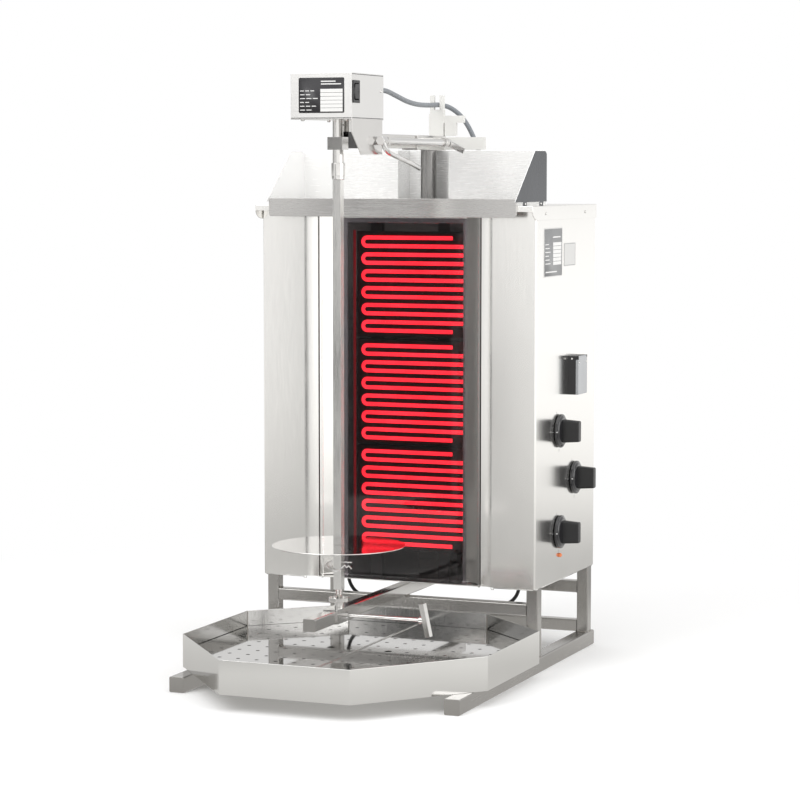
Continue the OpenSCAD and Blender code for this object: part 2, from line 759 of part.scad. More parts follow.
module insert_half() {
    inner = inset(tray_plan, 18);
    function inside(p) = min([for (i = [0 : len(inner) - 1])
        turned(edge(inner, i)) * (p - inner[i])]) > 0;
    places = [for (i = [0 : 7]) for (j = [-11 : 4])
        let (p = [17 + i * hole_dx, j * hole_dy - 27]) if (inside(p)) p];
    translate([0, 0, insert_z]) linear_extrude(1) difference() {
        intersection() {
            polygon(inset(tray_plan, 3));
            translate([0.4, -500]) square([400, 700]);
        }
        for (p = places) translate(p) circle(p == finger_hole ? 6 : 3.2, $fn = 24);
    }
}
module left_insert() color("#d6d4d0") mirror([1, 0, 0]) insert_half();
module right_insert() color("#d6d4d0") insert_half();

// ---- Leads -------------------------------------------------------------------------------

module motor_lead() color("#8d9196") cord(motor_route, motor_lead_d, 10, [1, 0, 0]);

module hanging_lead() {
    right = [for (p = lead_half) [p[0], lead_y, p[1]]];
    left = [for (i = [len(right) - 1 : -1 : 1]) [-right[i][0], lead_y, right[i][2]]];
    color("#151516") cord(concat(left, right), lead_d, 8, [0, 1, 0]);
}

module cable_glands() color("#2a2b2d") {
    both_sides() {
        bar_z(body_z - 10, body_z, lead_half[7][0], lead_y, 7);
        bar_z(body_z, pan_top + 4, lead_half[7][0], lead_y, 3);
    }
    bar_z(under_cover, cover_z, lead_gland[0], lead_gland[1], 6);
    bar_z(cover_z, cover_z + 10, lead_gland[0], lead_gland[1], 9);
}

at_origin() {
    skids();
    tube_end_caps();
    frame_posts();
    crossbars();
    bottom_pan();
    left_side_panel();
    right_side_panel();
    back_panel();
    top_cover();
    front_header();
    left_reflector();
    right_reflector();
    glass_panel();
    glass_rails();
    heater_frame();
    element_trays();
    top_element();
    middle_element();
    bottom_element();
    limiter_tube();
    front_visor();
    rear_guard();
    side_cheeks();
    switchgear();
    indicator_lamp();
    socket_box();
    socket_lid();
    top_knob();
    middle_knob();
    bottom_knob();
    blank_plates();
    column_tube();
    column_head();
    cable_holder();
    clamp_lever();
    arm_tube();
    arm_sleeve();
    guide_block();
    motor_cover();
    motor_base();
    gear_motor();
    switch_housing();
    rocker_switch();
    motor_gland();
    drive_shaft();
    drive_sleeve();
    clamp_handle();
    spit_bar();
    meat_plate();
    retaining_clip();
    lower_arm();
    slider_sleeve();
    spit_socket();
    clamp_screw();
    drip_tray();
    left_insert();
    right_insert();
    motor_lead();
    hanging_lead();
    cable_glands();
}
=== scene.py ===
"""An upright rotisserie grill: tube frame, heated glass front, driven spit, guard and drip tray."""
import json
import math

import bmesh
import bpy
from mathutils import Matrix, Vector


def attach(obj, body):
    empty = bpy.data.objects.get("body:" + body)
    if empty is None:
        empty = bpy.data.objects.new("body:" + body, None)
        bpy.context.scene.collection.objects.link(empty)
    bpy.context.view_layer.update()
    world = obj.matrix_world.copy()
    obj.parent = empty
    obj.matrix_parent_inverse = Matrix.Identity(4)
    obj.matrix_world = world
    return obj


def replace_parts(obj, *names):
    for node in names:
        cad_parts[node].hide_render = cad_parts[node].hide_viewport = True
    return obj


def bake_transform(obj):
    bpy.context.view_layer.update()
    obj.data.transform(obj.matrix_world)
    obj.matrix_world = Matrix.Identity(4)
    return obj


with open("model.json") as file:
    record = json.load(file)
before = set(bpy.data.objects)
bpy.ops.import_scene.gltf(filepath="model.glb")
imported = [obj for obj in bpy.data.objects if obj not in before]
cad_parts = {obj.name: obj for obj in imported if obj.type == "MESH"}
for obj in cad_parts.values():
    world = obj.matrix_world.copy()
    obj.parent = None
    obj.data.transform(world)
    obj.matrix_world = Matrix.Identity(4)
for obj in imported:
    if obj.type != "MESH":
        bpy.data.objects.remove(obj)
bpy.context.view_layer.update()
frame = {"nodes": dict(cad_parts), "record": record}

MM = 0.001
CENTRE_X, CENTRE_Y = 9, -50  # the CAD model's middle planes, in millimetres from its origin
COVER_Z = 754
ARM_Z = COVER_Z + 92
BOX_Z = COVER_Z + 135
HALF = 240
SPIT_Y = -217

LENS_MM, SENSOR_MM = 117.72, 36
CAMERA_AT = (1607.3, -3917.2, 809.4)
CAMERA_TILT, CAMERA_TURN = 85.0, 22.13  # degrees up from straight down, and round to the knobs' side
FLOOR_HALF_SIZE = 60


def at(x, y, z):
    """A point given about the housing's middle planes in millimetres, in the shared frame's metres."""
    return Vector(((x - CENTRE_X) * MM, (y - CENTRE_Y) * MM, z * MM))


# ---- Camera, light and floor ---------------------------------------------------------------


def add_camera():
    data = bpy.data.cameras.new("camera")
    data.lens = LENS_MM
    data.sensor_width = SENSOR_MM
    data.clip_end = 50
    camera = bpy.data.objects.new("camera", data)
    camera.location = at(*CAMERA_AT)
    camera.rotation_euler = (math.radians(CAMERA_TILT), 0, math.radians(CAMERA_TURN))
    bpy.context.collection.objects.link(camera)
    bpy.context.scene.camera = camera


def tone_ramp(nodes, ends, steps, tint):
    """A ramp of studio tones: two end colours, and greys between them with green and blue by tint."""
    ramp = nodes.new("ShaderNodeValToRGB")
    elements = ramp.color_ramp.elements
    for index, (place, colour) in enumerate(ends):
        elements[index].position = place
        elements[index].color = (*colour, 1)
    for place, grey in steps:
        elements.new(place).color = (grey, grey * tint[0], grey * tint[1], 1)
    return ramp


def product(nodes, links, first, second):
    node = nodes.new("ShaderNodeMath")
    node.operation = "MULTIPLY"
    links.new(first, node.inputs[0])
    links.new(second, node.inputs[1])
    return node.outputs[0]


def by_camera_ray(nodes, links, otherwise, seen, out):
    """Camera rays get one shader and all other rays another."""
    path = nodes.new("ShaderNodeLightPath")
    mix = nodes.new("ShaderNodeMixShader")
    links.new(path.outputs["Is Camera Ray"], mix.inputs[0])
    links.new(otherwise.outputs[0], mix.inputs[1])
    links.new(seen.outputs[0], mix.inputs[2])
    links.new(mix.outputs[0], out.inputs["Surface"])


def add_world():
    """A pale studio all round, dimmer at the left, where the polished steel wants some contrast."""
    world = bpy.data.worlds.new("studio")
    bpy.context.scene.world = world
    world.use_nodes = True
    nodes, links = world.node_tree.nodes, world.node_tree.links
    nodes.clear()
    out = nodes.new("ShaderNodeOutputWorld")
    coord = nodes.new("ShaderNodeTexCoord")
    split = nodes.new("ShaderNodeSeparateXYZ")
    links.new(coord.outputs["Generated"], split.inputs[0])
    height = tone_ramp(nodes, ((0.30, (0.50, 0.49, 0.48)), (0.95, (0.92, 0.92, 0.92))),
                       ((0.46, 0.95), (0.50, 1.20), (0.60, 1.08), (0.74, 0.80)), (0.992, 0.98))
    links.new(spread(nodes, links, split.outputs["Z"], 0, 1, -1, 1), height.inputs[0])
    aside = product(nodes, links, spread(nodes, links, split.outputs["X"], 0.30, 1, -0.97, -0.62),
                    spread(nodes, links, split.outputs["Y"], 1, 0.80, 0.4, 0.9))
    dim = nodes.new("ShaderNodeMix")
    dim.data_type = "RGBA"
    dim.blend_type = "MULTIPLY"
    dim.inputs["Factor"].default_value = 1
    links.new(height.outputs[0], dim.inputs["A"])
    links.new(aside, dim.inputs["B"])
    reflected = nodes.new("ShaderNodeBackground")
    links.new(dim.outputs["Result"], reflected.inputs["Color"])
    reflected.inputs["Strength"].default_value = 0.98
    seen = nodes.new("ShaderNodeBackground")
    seen.inputs["Color"].default_value = (1, 1, 1, 1)
    by_camera_ray(nodes, links, reflected, seen, out)


def add_light(name, place, target, size, power):
    data = bpy.data.lights.new(name, "AREA")
    data.shape = "RECTANGLE"
    data.size, data.size_y = size
    data.energy = power
    light = bpy.data.objects.new(name, data)
    light.location = place
    light.rotation_euler = (Vector(target) - Vector(place)).to_track_quat("-Z", "Y").to_euler()
    light.visible_camera = False
    bpy.context.collection.objects.link(light)


def add_card(name, place, target, size, grey):
    """A dim studio card that only reflections see."""
    mesh = bpy.data.meshes.new(name)
    x, y = size[0] / 2, size[1] / 2
    mesh.from_pydata([(-x, -y, 0), (x, -y, 0), (x, y, 0), (-x, y, 0)], [], [(0, 1, 2, 3)])
    card = bpy.data.objects.new(name, mesh)
    card.location = place
    card.rotation_euler = (Vector(target) - Vector(place)).to_track_quat("Z", "Y").to_euler()
    bpy.context.collection.objects.link(card)
    mat, nodes, links, shader = new_material(name)
    shader.inputs["Base Color"].default_value = (grey, grey, grey, 1)
    shader.inputs["Roughness"].default_value = 1
    mesh.materials.append(mat)
    card.visible_camera = False
    card.visible_shadow = False
    card.visible_diffuse = False


def add_floor():
    """A plain pale floor that fades to the white of the room; reflections see soft tones on it."""
    mesh = bpy.data.meshes.new("floor")
    s = FLOOR_HALF_SIZE
    mesh.from_pydata([(-s, -s, 0), (s, -s, 0), (s, s, 0), (-s, s, 0)], [], [(0, 1, 2, 3)])
    floor = bpy.data.objects.new("floor", mesh)
    bpy.context.collection.objects.link(floor)
    mat, nodes, links, shader = new_material("floor")
    shader.inputs["Base Color"].default_value = (0.95, 0.95, 0.95, 1)
    shader.inputs["Roughness"].default_value = 0.9
    shader.inputs["Specular IOR Level"].default_value = 0.1
    coord = nodes.new("ShaderNodeTexCoord")
    away = nodes.new("ShaderNodeVectorMath")
    away.operation = "LENGTH"
    links.new(coord.outputs["Object"], away.inputs[0])
    white = nodes.new("ShaderNodeEmission")
    faded = nodes.new("ShaderNodeMixShader")
    links.new(spread(nodes, links, away.outputs["Value"], 0, 1, 0.55, 1.5), faded.inputs[0])
    links.new(shader.outputs[0], faded.inputs[1])
    links.new(white.outputs[0], faded.inputs[2])
    tones = tone_ramp(nodes, ((0.06, (0.62, 0.61, 0.59)), (1.0, (1.20, 1.195, 1.18))),
                      ((0.115, 0.84), (0.17, 0.50), (0.25, 0.54), (0.40, 0.90), (0.65, 1.12)),
                      (0.99, 0.965))
    links.new(spread(nodes, links, away.outputs["Value"], 0, 1, 0, 6), tones.inputs[0])
    sides = nodes.new("ShaderNodeSeparateXYZ")
    links.new(coord.outputs["Object"], sides.inputs[0])
    toned = nodes.new("ShaderNodeEmission")
    links.new(tones.outputs[0], toned.inputs["Color"])
    across = product(nodes, links, spread(nodes, links, sides.outputs["X"], 0.86, 1.15, -1.0, 0.8),
                     spread(nodes, links, sides.outputs["Y"], 1, 0.86, 0.9, 2.0))
    links.new(across, toned.inputs["Strength"])
    by_camera_ray(nodes, links, toned, faded, next(n for n in nodes if n.type == "OUTPUT_MATERIAL"))
    mesh.materials.append(mat)


# ---- Materials -----------------------------------------------------------------------------


def new_material(name):
    mat = bpy.data.materials.new(name)
    mat.use_nodes = True
    nodes, links = mat.node_tree.nodes, mat.node_tree.links
    nodes.clear()
    out = nodes.new("ShaderNodeOutputMaterial")
    shader = nodes.new("ShaderNodeBsdfPrincipled")
    links.new(shader.outputs[0], out.inputs["Surface"])
    return mat, nodes, links, shader


def stretched_noise(nodes, links, scale, detail=3, rough=0.6):
    """Noise in object space, in cycles per metre along each axis."""
    coord = nodes.new("ShaderNodeTexCoord")
    mapping = nodes.new("ShaderNodeMapping")
    mapping.inputs["Scale"].default_value = scale
    links.new(coord.outputs["Object"], mapping.inputs["Vector"])
    noise = nodes.new("ShaderNodeTexNoise")
    noise.inputs["Scale"].default_value = 1
    noise.inputs["Detail"].default_value = detail
    noise.inputs["Roughness"].default_value = rough
    links.new(mapping.outputs[0], noise.inputs["Vector"])
    return noise.outputs["Fac"]


def spread(nodes, links, value, low, high, start=0.3, end=0.7):
    """A value between start and end becomes a number between low and high."""
    node = nodes.new("ShaderNodeMapRange")
    node.inputs["From Min"].default_value = start
    node.inputs["From Max"].default_value = end
    node.inputs["To Min"].default_value = low
    node.inputs["To Max"].default_value = high
    links.new(value, node.inputs["Value"])
    return node.outputs[0]


def blend_colours(nodes, links, value, first, second):
    node = nodes.new("ShaderNodeMix")
    node.data_type = "RGBA"
    node.inputs["A"].default_value = (*first, 1)
    node.inputs["B"].default_value = (*second, 1)
    links.new(value, node.inputs["Factor"])
    return node.outputs["Result"]


def bump(nodes, links, height, strength, distance, below=None):
    node = nodes.new("ShaderNodeBump")
    node.inputs["Strength"].default_value = strength
    node.inputs["Distance"].default_value = distance
    links.new(height, node.inputs["Height"])
    if below is not None:
        links.new(below, node.inputs["Normal"])
    return node.outputs[0]


def steel(name, colour, rough, grain="z", lines=1400, relief=0.05, cloud=0.05, metallic=1.0):
    """Stainless steel: brush lines along one axis, faint clouds from rolling, a few hair scratches."""
    mat, nodes, links, shader = new_material(name)
    axis = "xyz".index(grain)
    fine = [lines] * 3
    fine[axis] = lines / 60
    hair = [lines / 5] * 3
    hair[axis] = 3
    brush = stretched_noise(nodes, links, fine, 2, 0.7)
    scratch = stretched_noise(nodes, links, hair, 4, 0.75)
    clouds = stretched_noise(nodes, links, (7, 7, 5), 4, 0.55)
    dark = tuple(c * (1 - cloud) for c in colour)
    light = tuple(min(1, c * (1 + cloud)) for c in colour)
    tone = spread(nodes, links, clouds, 0, 1)
    links.new(blend_colours(nodes, links, tone, dark, light), shader.inputs["Base Color"])
    shader.inputs["Metallic"].default_value = metallic
    mixed = nodes.new("ShaderNodeMath")
    mixed.operation = "ADD"
    links.new(spread(nodes, links, clouds, rough * 0.85, rough * 1.1), mixed.inputs[0])
    links.new(spread(nodes, links, brush, -0.035, 0.05), mixed.inputs[1])
    links.new(mixed.outputs[0], shader.inputs["Roughness"])
    under = bump(nodes, links, scratch, relief * 0.5, 0.0002)
    links.new(bump(nodes, links, brush, relief, 0.0001, under), shader.inputs["Normal"])
    return mat


def moulded(name, colour, rough, grain=900, relief=0.12, speck=0.15, coat=0.0):
    """Moulded plastic, lacquer or rubber with a fine surface grain."""
    mat, nodes, links, shader = new_material(name)
    tiny = stretched_noise(nodes, links, (grain, grain, grain), 3, 0.6)
    wide = stretched_noise(nodes, links, (14, 14, 14), 3, 0.5)
    dark = tuple(c * (1 - speck) for c in colour)
    light = tuple(min(1, c * (1 + speck)) for c in colour)
    tone = spread(nodes, links, wide, 0, 1)
    links.new(blend_colours(nodes, links, tone, dark, light), shader.inputs["Base Color"])
    links.new(spread(nodes, links, wide, rough * 0.85, min(1, rough * 1.2)), shader.inputs["Roughness"])
    shader.inputs["Coat Weight"].default_value = coat
    shader.inputs["Coat Roughness"].default_value = 0.12
    links.new(bump(nodes, links, tiny, relief, 0.0001), shader.inputs["Normal"])
    return mat


def glowing(name, colour, strength):
    """Ribbon at red heat, a little hotter along some stretches than others."""
    mat, nodes, links, shader = new_material(name)
    heat = stretched_noise(nodes, links, (18, 18, 30), 3, 0.6)
    shader.inputs["Base Color"].default_value = (0.25, 0.04, 0.03, 1)
    shader.inputs["Roughness"].default_value = 0.6
    cool = (colour[0] * 0.86, colour[1] * 0.55, colour[2] * 0.6)
    links.new(blend_colours(nodes, links, spread(nodes, links, heat, 0, 1), cool, colour),
              shader.inputs["Emission Color"])
    shader.inputs["Emission Strength"].default_value = strength
    grain = stretched_noise(nodes, links, (500, 500, 500), 3, 0.6)
    links.new(bump(nodes, links, grain, 0.3, 0.0003), shader.inputs["Normal"])
    return mat


def dark_glass(name):
    """Smoked glass ceramic: clear enough for what glows behind it, with a faint surface ripple."""
    mat, nodes, links, shader = new_material(name)
    ripple = stretched_noise(nodes, links, (9, 9, 9), 2, 0.4)
    smear = stretched_noise(nodes, links, (5, 5, 14), 4, 0.6)
    shader.inputs["Base Color"].default_value = (0.42, 0.40, 0.42, 1)
    shader.inputs["IOR"].default_value = 1.5
    shader.inputs["Transmission Weight"].default_value = 1
    links.new(spread(nodes, links, smear, 0.012, 0.05), shader.inputs["Roughness"])
    links.new(bump(nodes, links, ripple, 0.02, 0.001), shader.inputs["Normal"])
    return mat


def fibre_board(name):
    """Pressed mineral fibre with short fibres and pits, kept near black as painted shade for the shut-in
    space behind the smoked glass.
    """
    mat, nodes, links, shader = new_material(name)
    fibre = stretched_noise(nodes, links, (420, 420, 90), 4, 0.7)
    # Random dark patches over a near-black board whose darkness is painted shade
    dark_patches = stretched_noise(nodes, links, (16, 16, 16), 3, 0.6)
    links.new(blend_colours(nodes, links, spread(nodes, links, dark_patches, 0, 1),
                            (0.030, 0.026, 0.026), (0.065, 0.055, 0.052)), shader.inputs["Base Color"])
    shader.inputs["Roughness"].default_value = 0.95
    links.new(bump(nodes, links, fibre, 0.5, 0.0006), shader.inputs["Normal"])
    return mat


def make_materials():
    """One material for each finish, by the record's slot name, and a few more for printed details and for
    brightened and darkened copies of the bare steel, which are painted light and painted shade.
    """
    return {
        # The frame's darker grey is painted shade: the tubes are the same bare steel as the panels
        "frame_steel": steel("frame_steel", (0.42, 0.41, 0.395), 0.23, "y", 1100, 0.015, 0.06),
        "panel_steel": steel("panel_steel", (0.87, 0.86, 0.84), 0.20, "z", 1500, 0.012, 0.012),
        "polished_steel": steel("polished_steel", (0.76, 0.755, 0.74), 0.11, "z", 1600, 0.015, 0.02),
        # A brightened, nearly white copy of the bare steel: painted light on the rear guard and the cheeks'
        # inner faces
        "guard_steel_painted_light": steel("guard_steel_painted_light", (0.95, 0.95, 0.945), 0.24, "x", 1600, 0.01, 0.01, 0.45),
        # The left wing: a brightened copy of the bare steel, painted light
        "wing_painted_light": steel("wing_painted_light", (0.92, 0.91, 0.89), 0.12, "z", 1600, 0.012, 0.015),
        # A brightened copy of the bare steel for the spit bar: painted light
        "spit_steel_painted_light": steel("spit_steel_painted_light", (0.94, 0.93, 0.91), 0.2, "z", 1400, 0.02, 0.03),
        "sooty_steel": steel("sooty_steel", (0.10, 0.095, 0.09), 0.5, "z", 800, 0.1, 0.3),
        # The right wing: a darkened copy of the same bare steel, painted shade
        "wing_painted_shade": steel("wing_painted_shade", (0.37, 0.36, 0.35), 0.13, "z", 1600, 0.015, 0.03),
        # A near-black copy of the bare steel for the cheeks' outer faces: painted shade and dark
        # reflection, not a slate finish
        "cheek_painted_shade": steel("cheek_painted_shade", (0.075, 0.08, 0.09), 0.26, "z", 1300, 0.05, 0.25),
        "insert_steel": steel("insert_steel", (0.58, 0.575, 0.57), 0.045, "y", 1700, 0.012, 0.03),
        "plate_steel": steel("plate_steel", (0.80, 0.79, 0.775), 0.09, "x", 1700, 0.02, 0.02),
        # The visor's mid-grey is painted shade on the same bare steel
        "visor_steel": steel("visor_steel", (0.56, 0.55, 0.54), 0.26, "x", 1500, 0.015, 0.02),
        "weld_steel": steel("weld_steel", (0.40, 0.38, 0.35), 0.38, "y", 500, 0.4, 0.25),
        "chrome": steel("chrome", (0.80, 0.795, 0.79), 0.07, "y", 1500, 0.02, 0.02),
        "heater_glass": dark_glass("heater_glass"),
        # The near-black fibre board is painted shade inside the heater
        "insulation": fibre_board("insulation"),
        "glowing_ribbon": glowing("glowing_ribbon", (1.0, 0.024, 0.040), 5.0),
        # The limiter tube heats nothing: its faint red emission is painted glow, standing in for the
        # ribbons' red light falling on it
        "limiter": glowing("limiter", (0.55, 0.01, 0.03), 0.40),
        "switch_plastic": moulded("switch_plastic", (0.70, 0.67, 0.60), 0.5),
        "lamp_lens": moulded("lamp_lens", (0.90, 0.22, 0.06), 0.18, 300, 0.05, 0.2, 0.6),
        "black_plastic": moulded("black_plastic", (0.012, 0.012, 0.013), 0.34, 1500, 0.12, 0.3),
        "gloss_black": moulded("gloss_black", (0.016, 0.016, 0.018), 0.16, 1100, 0.04, 0.2, 0.5),
        "label_black": moulded("label_black", (0.022, 0.021, 0.024), 0.32, 1300, 0.03, 0.12),
        "label_grey": moulded("label_grey", (0.27, 0.275, 0.28), 0.35, 1300, 0.03, 0.06),
        "label_white": moulded("label_white", (0.80, 0.80, 0.79), 0.42, 1300, 0.03, 0.03),
        "painted_white": moulded("painted_white", (0.74, 0.735, 0.71), 0.36, 900, 0.10, 0.03, 0.15),
        "grey_plastic": moulded("grey_plastic", (0.36, 0.375, 0.39), 0.22, 700, 0.05, 0.08, 0.3),
        "plate_foil": steel("plate_foil", (0.74, 0.74, 0.73), 0.36, "x", 2200, 0.04, 0.03),
        # The column's dark grey is painted shade on the same bare steel
        "column_steel": steel("column_steel", (0.27, 0.265, 0.26), 0.28, "z", 1200, 0.08, 0.08),
        "bright_steel": steel("bright_steel", (0.70, 0.69, 0.675), 0.15, "y", 1500, 0.03, 0.05),
        "motor_cover_steel": steel("motor_cover_steel", (0.76, 0.755, 0.745), 0.36, "x", 1800, 0.01, 0.01),
        "motor_casing": steel("motor_casing", (0.42, 0.43, 0.45), 0.5, "z", 500, 0.3, 0.1),
        "grey_cable": moulded("grey_cable", (0.21, 0.225, 0.245), 0.45, 1200, 0.10, 0.10),
        "black_cable": moulded("black_cable", (0.014, 0.014, 0.014), 0.5, 1200, 0.12, 0.25),
    }


# ---- Mesh helpers --------------------------------------------------------------------------

SLOT = {s["node"]: s["material_slot"] for s in frame["record"]["subparts"]}
BODY = {n: b for b, names in frame["record"]["behaviour"]["bodies"].items() for n in names}


def piece(name, mesh, slot, body, mat=None):
    """A Blender piece with its slot and its finish. A piece without a body is left unattached."""
    obj = bpy.data.objects.new(name, mesh)
    bpy.context.collection.objects.link(obj)
    mesh.materials.clear()
    mesh.materials.append(mat or MATERIALS[slot])
    if body:
        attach(obj, body)
    return obj


def smooth_faces(mesh):
    for face in mesh.polygons:
        face.use_smooth = True


def bevelled(obj, width, segments=3, angle=32):
    mod = obj.modifiers.new("rounded", "BEVEL")
    mod.width = width * MM
    mod.segments = segments
    mod.limit_method = "ANGLE"
    mod.angle_limit = math.radians(angle)
    mod.use_clamp_overlap = True
    mod.miter_outer = "MITER_ARC"
    even = obj.modifiers.new("even_shading", "WEIGHTED_NORMAL")
    even.weight = 100
    even.keep_sharp = False
    return obj


def triangle_area(bm):
    """The area that the faces cover once cut into triangles, which shows up a filled-in opening."""
    cut = bm.copy()
    bmesh.ops.triangulate(cut, faces=cut.faces)
    area = sum(face.calc_area() for face in cut.faces)
    cut.free()
    return area


def softened(node, width):
    """A copy of a CAD node with its coplanar facets joined and its edges rounded."""
    source = frame["nodes"][node]
    bm = bmesh.new()
    bm.from_mesh(source.data)
    bm.transform(source.matrix_world)
    bmesh.ops.remove_doubles(bm, verts=bm.verts, dist=2e-6)
    facets = bm.copy()
    bmesh.ops.dissolve_limit(bm, angle_limit=math.radians(0.6), verts=bm.verts, edges=bm.edges)
    if abs(triangle_area(bm) / triangle_area(facets) - 1) > 0.002:
        bm, facets = facets, bm
    facets.free()
    mesh = bpy.data.meshes.new(node + "_skin")
    bm.to_mesh(mesh)
    bm.free()
    smooth_faces(mesh)
    obj = piece(node + "_skin", mesh, SLOT[node], BODY[node])
    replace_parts(obj, node)
    return bevelled(obj, width)


def solid_from(bm, name, slot, body, mat=None, smooth=True):
    bmesh.ops.recalc_face_normals(bm, faces=bm.faces)
    mesh = bpy.data.meshes.new(name)
    bm.to_mesh(mesh)
    bm.free()
    if smooth:
        smooth_faces(mesh)
    return piece(name, mesh, slot, body, mat)


def add_block(bm, lo, hi):
    lo, hi = at(*lo), at(*hi)
    made = bmesh.ops.create_cube(bm, size=1)["verts"]
    for v in made:
        v.co = Vector(lo[i] + (v.co[i] + 0.5) * (hi[i] - lo[i]) for i in range(3))


def add_round(bm, start, end, radius, sides):
    """A round bar between two points, both given about the middle plane in millimetres."""
    a, b = at(*start), at(*end)
    d = b - a
    turn = d.to_track_quat("Z", "Y").to_matrix().to_4x4()
    bmesh.ops.create_cone(bm, cap_ends=True, segments=sides, radius1=radius * MM, radius2=radius * MM,
                          depth=d.length, matrix=Matrix.Translation((a + b) / 2) @ turn)


def catmull(points, steps):
    """A smooth line through the points, with steps between neighbours."""
    last = len(points) - 1
    line = []
    for i in range(last):
        a, b = points[max(i - 1, 0)], points[i]
        c, d = points[i + 1], points[min(i + 2, last)]
        for k in range(steps):
            t = k / steps
            line.append(0.5 * (2 * b + (c - a) * t + (2 * a - 5 * b + 4 * c - d) * t * t
                               + (3 * b - a - 3 * c + d) * t ** 3))
    return line + [points[last]]


def skin(bm, rings):
    """Walls between neighbouring rings of equal count, and a cap on each end."""
    count = len(rings[0])
    for one, two in zip(rings, rings[1:]):
        for k in range(count):
            n = (k + 1) % count
            bm.faces.new((one[k], one[n], two[n], two[k]))
    bm.faces.new(list(reversed(rings[0])))
    bm.faces.new(rings[-1])


def take_in(bm, other):
    """Adds the faces of another bmesh, which is freed."""
    mesh = bpy.data.meshes.new("taken_in")
    other.to_mesh(mesh)
    other.free()
    bm.from_mesh(mesh)
    bpy.data.meshes.remove(mesh)


def swept_tube(line, radius, sides, side):
    """A closed round tube along a line, as bmesh. side is never along the line."""
    bm = bmesh.new()
    rings = []
    for i, p in enumerate(line):
        d = (line[min(i + 1, len(line) - 1)] - line[max(i - 1, 0)]).normalized()
        u = d.cross(side).normalized()
        v = d.cross(u)
        r = radius(i) if callable(radius) else radius
        rings.append([bm.verts.new(p + r * (math.cos(a) * u + math.sin(a) * v))
                      for a in (2 * math.pi * k / sides for k in range(sides))])
    skin(bm, rings)
    bmesh.ops.recalc_face_normals(bm, faces=bm.faces)
    return bm


# ---- Cords ---------------------------------------------------------------------------------

MOTOR_ROUTE = [(25, -148.8, 936), (25, -134, 936), (25, -118, 936), (24, -80, 935), (20, -30, 929),
               (14, 30, 922), (8, 90, 918.5), (3, 150, 918.5), (1, 190, 920), (3, 212, 920),
               (13, 227, 916), (28, 234, 904), (42, 235, 886), (55, 231, 864), (68, 224, 840),
               (80, 216, 816), (90, 207, 794), (97, 201, 780), (98, 200, 772), (98, 200, 764)]
HANGING_HALF = [(0, 183, 73), (50, 183, 73.5), (90, 183, 75.5), (120, 183, 80), (140, 183, 88),
                (151, 183, 100), (156, 183, 115), (157, 183, 128)]
MOTOR_LEAD_D = 8
HANGING_D = 6
CORD_STEPS = 6


def cord_piece(name, route, diameter, side, slot, body, node):
    line = catmull([at(*p) for p in route], CORD_STEPS)
    bm = swept_tube(line, diameter / 2 * MM, 20, Vector(side))
    mesh = bpy.data.meshes.new(name)
    bm.to_mesh(mesh)
    bm.free()
    smooth_faces(mesh)
    obj = piece(name, mesh, slot, body)
    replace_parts(obj, node)
    return obj, line


def add_cords():
    lead, line = cord_piece("motor_lead_cord", MOTOR_ROUTE, MOTOR_LEAD_D, (1, 0, 0),
                            "grey_cable", None, "motor_lead")
    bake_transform(lead)
    route = [(-x, y, z) for x, y, z in reversed(HANGING_HALF[1:])] + HANGING_HALF
    drop, line = cord_piece("hanging_lead_cord", route, HANGING_D, (0, 1, 0),
                            "black_cable", "root", "hanging_lead")


# ---- Carried-over shapes with rounded edges ---------------------------------------------------

EDGES = {
    "bottom_pan": 0.3, "left_side_panel": 0.3, "right_side_panel": 0.3,
    "top_cover": 0.6, "front_header": 0.3,
    "glass_panel": 0.8, "glass_rails": 0.3,
    "limiter_tube": 0.8, "front_visor": 0.5, "switchgear": 0.8, "indicator_lamp": 0.3,
    "socket_box": 0.4, "blank_plates": 0.15, "column_tube": 0.6, "column_head": 0.6,
    "arm_tube": 1.6, "arm_sleeve": 0.7, "guide_block": 1.6, "motor_cover": 1.6,
    "motor_base": 0.5, "gear_motor": 1.5, "switch_housing": 0.8, "rocker_switch": 0.8,
    "motor_gland": 1.0, "drive_shaft": 0.4,
    "slider_sleeve": 0.6, "spit_socket": 0.4, "clamp_screw": 1.2, "drip_tray": 0.45,
    "cable_glands": 1.2,
}
OTHER_FINISH = {
    # spit_bar, the two reflectors and rear_guard get brightened or darkened copies of one bare steel:
    # painted light and painted shade
    "heater_frame": (0.3, "sooty_steel"), "spit_bar": (0.9, "spit_steel_painted_light"),
    "left_reflector": (0.3, "wing_painted_light"), "right_reflector": (0.3, "wing_painted_shade"),
    "rear_guard": (0.5, "guard_steel_painted_light"), "left_insert": (0.3, "insert_steel"),
    "right_insert": (0.3, "insert_steel"), "cable_holder": (0.9, "painted_white"),
    "clamp_lever": (1.4, "chrome"), "socket_lid": (0.35, "grey_plastic"),
}


def repainted(obj, finish):
    obj.data.materials.clear()
    obj.data.materials.append(MATERIALS[finish])
    return obj


def add_rounded_copies():
    for node, width in EDGES.items():
        softened(node, width)
    for node, (width, finish) in OTHER_FINISH.items():
        repainted(softened(node, width), finish)


def add_cheeks():
    """The two side cheeks, one bare steel: a brightened copy on the inner faces as painted light, a
    near-black copy on the outer faces as painted shade and dark reflection.
    """
    cheeks = repainted(softened("side_cheeks", 0.5), "guard_steel_painted_light")
    cheeks.data.materials.append(MATERIALS["cheek_painted_shade"])
    for face in cheeks.data.polygons:
        outward = face.normal.x * (1 if face.center.x > at(0, 0, 0).x else -1)
        if outward > 0.5:
            face.material_index = 1


# ---- Shapes made afresh ------------------------------------------------------------------------


